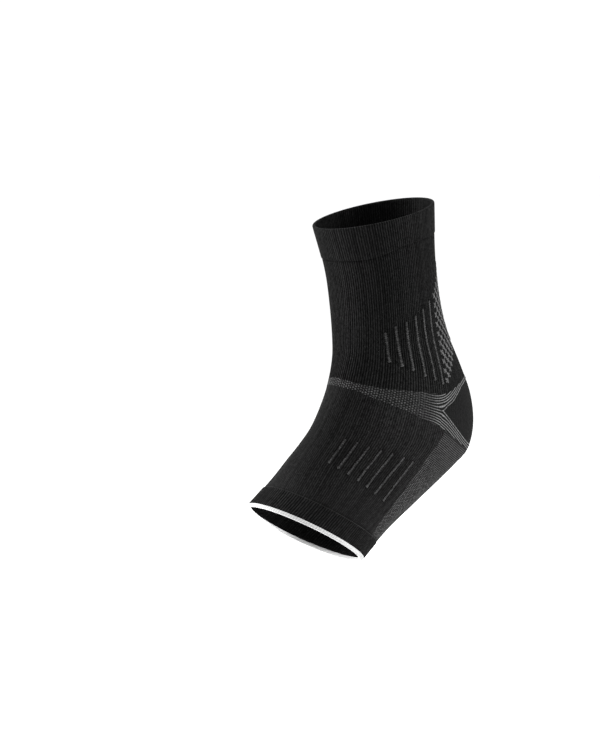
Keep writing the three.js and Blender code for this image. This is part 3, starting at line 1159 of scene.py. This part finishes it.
# %% The toe cuff and its white edge
depth = toe_seam_length(ring)
lengths, heights = stacked(
    step_rows(depth),
    (between(depth - LIP, TOE_EDGE_DEPTH, 12), CUFF_RISE),
    (TOE_EDGE_DEPTH, CUFF_RISE - 0.0002),
    (TOE_EDGE_DEPTH, CUFF_RISE - CUFF_WALL),
    (between(TOE_EDGE_DEPTH, depth, 8), CUFF_RISE - CUFF_WALL),
    (depth, CUFF_RISE - CUFF_WALL),
)
toe_cuff = ring_wall(from_toes(ring, lengths), heights + crest)
make_piece("toe_cuff_knit", toe_cuff, cuff_knit, "cuff_knit", ["toe_cuff"])

EDGE_RISE = 0.0003
lengths, heights = stacked(
    (TOE_EDGE_DEPTH, 0.0),
    (TOE_EDGE_DEPTH - EDGE_RISE, EDGE_RISE),
    (between(TOE_EDGE_DEPTH - EDGE_RISE, FOLD, 3), EDGE_RISE),
    fold_rows(EDGE_RISE),
    (TOE_EDGE_DEPTH, EDGE_RISE - CUFF_WALL),
)
toe_edge = ring_wall(from_toes(ring, lengths), heights + crest * 0.5)
make_piece(
    "toe_edge_knit",
    toe_edge,
    white_knit,
    "white_knit",
    ["toe_edge"],
    # Painted shade under the foot.
    shaded=ease(92, 135, one_side(ring)) + 0 * heights,
)

# %% [markdown]
# ## Yarn laid on the knit
#
# The raised lines, the crosses and the fine seams are floats of thicker or lighter yarn. Each is a closed
# tube that follows the surface, thin at both ends where the yarn dives back into the knit. Hundreds of them
# are worked out at once as arrays, with one row for each length of yarn.


# %% Tubes of yarn
def run_along(places):
    """The length from the start of each row of places."""
    return np.cumsum(np.linalg.norm(np.diff(places, axis=1, prepend=places[:, :1]), axis=-1), 1)


def yarn_tubes(turn, down, lift, wide, high, sides=8, pitch=0.0011):
    """Closed tubes along rows of places. Wide and high are half sizes, and are 0 at the ends."""
    centre = knit_points(turn, down, lift)
    tangent = unit(np.gradient(centre, axis=1))
    aside = unit(np.cross(tangent, out_of_knit(turn, down)))
    out = np.cross(aside, tangent)
    angle = np.arange(sides) * 2 * np.pi / sides
    offset = (aside * wide[..., None])[:, :, None] * np.cos(angle)[:, None]
    offset = offset + (out * high[..., None])[:, :, None] * np.sin(angle)[:, None]
    points = centre[:, :, None] + offset
    count, steps = turn.shape
    number = np.arange(count * steps * sides).reshape(count, steps, sides)
    number = np.concatenate([number, number[:, :, :1]], 2)
    run = run_along(centre)
    wale = np.arange(sides + 1) * 2 / sides + 7 * np.arange(count)[:, None, None] + 0 * run[..., None]
    course = run[..., None] / pitch + 0 * wale
    bands = math.ceil(math.sqrt(count))
    cell_across = (np.arange(count) % bands)[:, None, None] + np.linspace(0, 0.96, steps)[:, None]
    cell_along = (np.arange(count) // bands)[:, None, None] + np.linspace(0, 0.9, sides + 1)
    faces = corners(number)
    return parts_of(
        points.reshape(-1, 3),
        faces,
        (corners(wale), corners(course)),
        [corners((cell + 0 * wale) / bands) for cell in (cell_across, cell_along)],
        np.full(len(faces), OUTSIDE),
        np.zeros(count * steps * sides),
    )


def round_ends(run, total, reach):
    """1 along a length of yarn and 0 at its ends, rounded over the reach."""
    near = np.clip(np.minimum(run, total - run) / reach, 0, 1)
    return np.sqrt(np.clip(1 - (1 - near) ** 2, 0, 1))


# %% Raised lines on the leg and the foot
LINE_STEPS = 220
LEG_LINE_HALF_WIDTH = 0.00125
FOOT_LINE_HALF_WIDTH = 0.00105
LINE_HALF_HEIGHT = 0.00045
LINE_SIDES = 8
KNOB = 0.0022  # the last stitches of a line are a little larger


def raised_lines(lines, half_width):
    """Both sides' lines as tubes with a swelling at each stitch."""
    share = np.linspace(0, 1, LINE_STEPS)
    turn_top, turn_base, top, base = (np.array(column)[:, None] for column in zip(*lines))
    turn = turn_top + (turn_base - turn_top) * share
    down = top + (base - top) * share
    turn, down = np.concatenate([turn, -turn]), np.concatenate([down, down])
    length = walked(turn, down)
    run = length - length[:, :1]
    total = run[:, -1:]
    swell = 0.58 + 0.42 * np.abs(np.sin(np.pi * run / LINE_PITCH))
    knob = ease(0, KNOB / 2, run - total + KNOB)
    size = round_ends(run, total, 0.0006) * swell * (1 + 0.2 * knob)
    tubes = yarn_tubes(turn, down, 0.00002 + 0 * run, size * half_width, size * LINE_HALF_HEIGHT)
    return tubes, np.repeat(knob, LINE_SIDES, axis=1)


for label, lines, half_width in (
    ("leg_side_lines", LEG_LINES, LEG_LINE_HALF_WIDTH),
    ("foot_side_lines", FOOT_LINES, FOOT_LINE_HALF_WIDTH),
):
    tubes, knobs = raised_lines(lines, half_width)
    make_piece(label, tubes, line_yarn, "melange_knit", knob=knobs)

# %% Crosses behind the ankle
CROSS_HALF_WIDTH = 0.0017
CROSS_HALF_HEIGHT = 0.0020
STRANDS = ((1, 1.0), (-1, 0.9), (0, 0.8))  # which way each leans, and its size
STRAND_STEPS = 9
STRAND_HALF_WIDTH = 0.00105
STRAND_HALF_HEIGHT = 0.00036
STRAND_RISE = 0.0002


def cross_centres():
    """Turn and length of knit for each cross, in columns that rise towards the back."""
    turns, lengths = [], []
    for column in range(CROSS_COLUMNS + 1):
        for row in range(CROSS_ROWS):
            length = FIELD_START + (row - column * CROSS_RISE) * CROSS_PITCH
            if length < FIELD_CEILING:
                continue
            turn = float(field_turn(column, length))
            sides = (turn,) if column == CROSS_COLUMNS else (turn, 360 - turn)
            turns.extend(sides)
            lengths.extend([length] * len(sides))
    return np.array(turns), np.array(lengths)


def places_near(turn, length, aside, below):
    """Turn and sections down of points at small offsets from a place, both in metres of knit."""
    down = down_at(turn, length)[0]
    per_down, per_turn = (np.linalg.norm(step, axis=-1) for step in short_steps(turn, down))
    turn = turn[:, None] + aside * (2 * STEP_TURN / per_turn)[:, None]
    return turn, down[:, None] + below * (2 * STEP_DOWN / per_down)[:, None]


centre_turn, centre_length = cross_centres()
share = np.linspace(-1, 1, STRAND_STEPS)
strands = []
to_back = np.sign(180.5 - centre_turn)[:, None]
for lean, reach in STRANDS:
    aside, below = to_back * (lean * reach * share * CROSS_HALF_WIDTH), reach * share * CROSS_HALF_HEIGHT
    strands.append(places_near(centre_turn, centre_length, aside, below))
cross_turn, cross_down = (np.concatenate(grids) for grids in zip(*strands))
arch = np.sqrt(1 - share**2) + 0 * cross_turn
half_widths, half_heights = arch**0.5 * STRAND_HALF_WIDTH, arch**0.5 * STRAND_HALF_HEIGHT
crosses = yarn_tubes(cross_turn, cross_down, STRAND_RISE * arch, half_widths, half_heights, sides=6)
make_piece("ankle_crosses", crosses, cross_yarn, "melange_knit")
print(len(centre_turn), "crosses")

# %% Seams of the heel cup and the toe cuff
GORE_STEPS = 700
GORE_TAIL = 2.2  # degrees that the two seams run on together past the fork
SEAM_STITCH = 0.001
SEAM_LIFT = 0.0001
SEAM_HALF_HEIGHT = 0.0003


def seam_tubes(turn, down, half_width):
    """Rows of places as thin tubes with small stitches."""
    run = run_along(surface(turn, down))
    size = 0.85 + 0.15 * np.abs(np.sin(np.pi * run / SEAM_STITCH))
    size = size * round_ends(run, run[:, -1:], 0.0005)
    half_height = size * SEAM_HALF_HEIGHT
    return yarn_tubes(turn, down, SEAM_LIFT + 0 * run, size * half_width, half_height, pitch=SEAM_STITCH)


gore_turn = np.linspace(FORK - GORE_TAIL, 360 - FORK + GORE_TAIL, GORE_STEPS) + np.zeros((2, 1))
gore_down = np.stack([CUP_TOP(gore_turn[0]), CUP_BASE(gore_turn[1])])
gore_down[:, [0, -1]] = strap_middle(FORK)
cup_seam = seam_tubes(gore_turn, gore_down, 0.00042)
make_piece("heel_cup_seam", cup_seam, gore_yarn, "melange_knit")
toe_turn = np.linspace(0, 360, 2 * GORE_STEPS)[None]
toe_seam_line = seam_tubes(toe_turn, toe_line(toe_turn), 0.0003)
make_piece("toe_cuff_seam", toe_seam_line, seam_yarn, "cuff_knit")

# %% [markdown]
# ## Studio
#
# The photograph has the sleeve on plain white. A white room lights it evenly, and three soft boxes add to
# that: one behind it on each side, which lighten the cloth towards its outline, and one overhead, which
# lifts the top of the foot. The side that faces the camera stays darkest. The sleeve is held up as on a
# foot, so the pale floor lies well below it.

# %% Floor
FLOOR_BELOW = 0.30
FLOOR_SIZE = 60.0


def floor_finish():
    finish = Finish("pale_floor", {"Specular IOR Level": 0.1, "Roughness": 0.9})
    grain = wear(finish, 6.0, 4.0)
    finish.paint({"Base Color": finish.mix(grain, grey(249), grey(254))})
    return finish.material


floor_mesh = bpy.data.meshes.new("floor")
half = FLOOR_SIZE / 2
level = CAD_BOX[0][2] - FLOOR_BELOW
floor_corners = [(-half, -half, level), (half, -half, level), (half, half, level), (-half, half, level)]
floor_mesh.from_pydata(floor_corners, [], [(0, 1, 2, 3)])
floor_mesh.materials.append(floor_finish())
floor = add_object("floor", floor_mesh)
floor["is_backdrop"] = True
print("Floor at", round(level, 3))

# %% Light
ROOM_LIGHT = 1.07
BOX_DISTANCE = 1.5
BOX_SIZE = 0.9
world = bpy.data.worlds.new("studio")
world.use_nodes = True
background = world.node_tree.nodes["Background"]
background.inputs["Color"].default_value = (1, 1, 1, 1)
background.inputs["Strength"].default_value = ROOM_LIGHT
bpy.context.scene.world = world
bpy.context.scene.view_settings.view_transform = "Standard"


def soft_box(name, turn, rise, share):
    """A square light that faces the sleeve, at a turn from the camera and a height. It adds a share of what
    the room gives."""
    turn, rise = math.radians(turn), math.radians(rise)
    level_back = unit(camera_back * [1, 1, 0])
    back = math.cos(rise) * (math.cos(turn) * level_back + math.sin(turn) * camera_right)
    back = back + [0, 0, math.sin(rise)]
    right = unit(np.cross([0, 0, 1.0], back))
    lamp = bpy.data.lights.new(name, "AREA")
    lamp.shape = "SQUARE"
    lamp.size = BOX_SIZE
    lamp.energy = share * ROOM_LIGHT * (math.pi * BOX_DISTANCE) ** 2
    aimed(name, lamp, right, np.cross(back, right), back, back * BOX_DISTANCE)
    print(name, round(lamp.energy, 1), "W")


soft_box("left_box", turn=-108, rise=15, share=4.0)
soft_box("right_box", turn=88, rise=20, share=2.6)
soft_box("top_box", turn=180, rise=75, share=1.7)

# %% The size of the dressed model
VISUAL_BOX = [list(corner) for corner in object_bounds()]
growth = ((np.array(VISUAL_BOX) - np.array(CAD_BOX)) * 1000).round(2).tolist()
print("Triangles:", triangle_total, "The box moved by", growth, "mm")
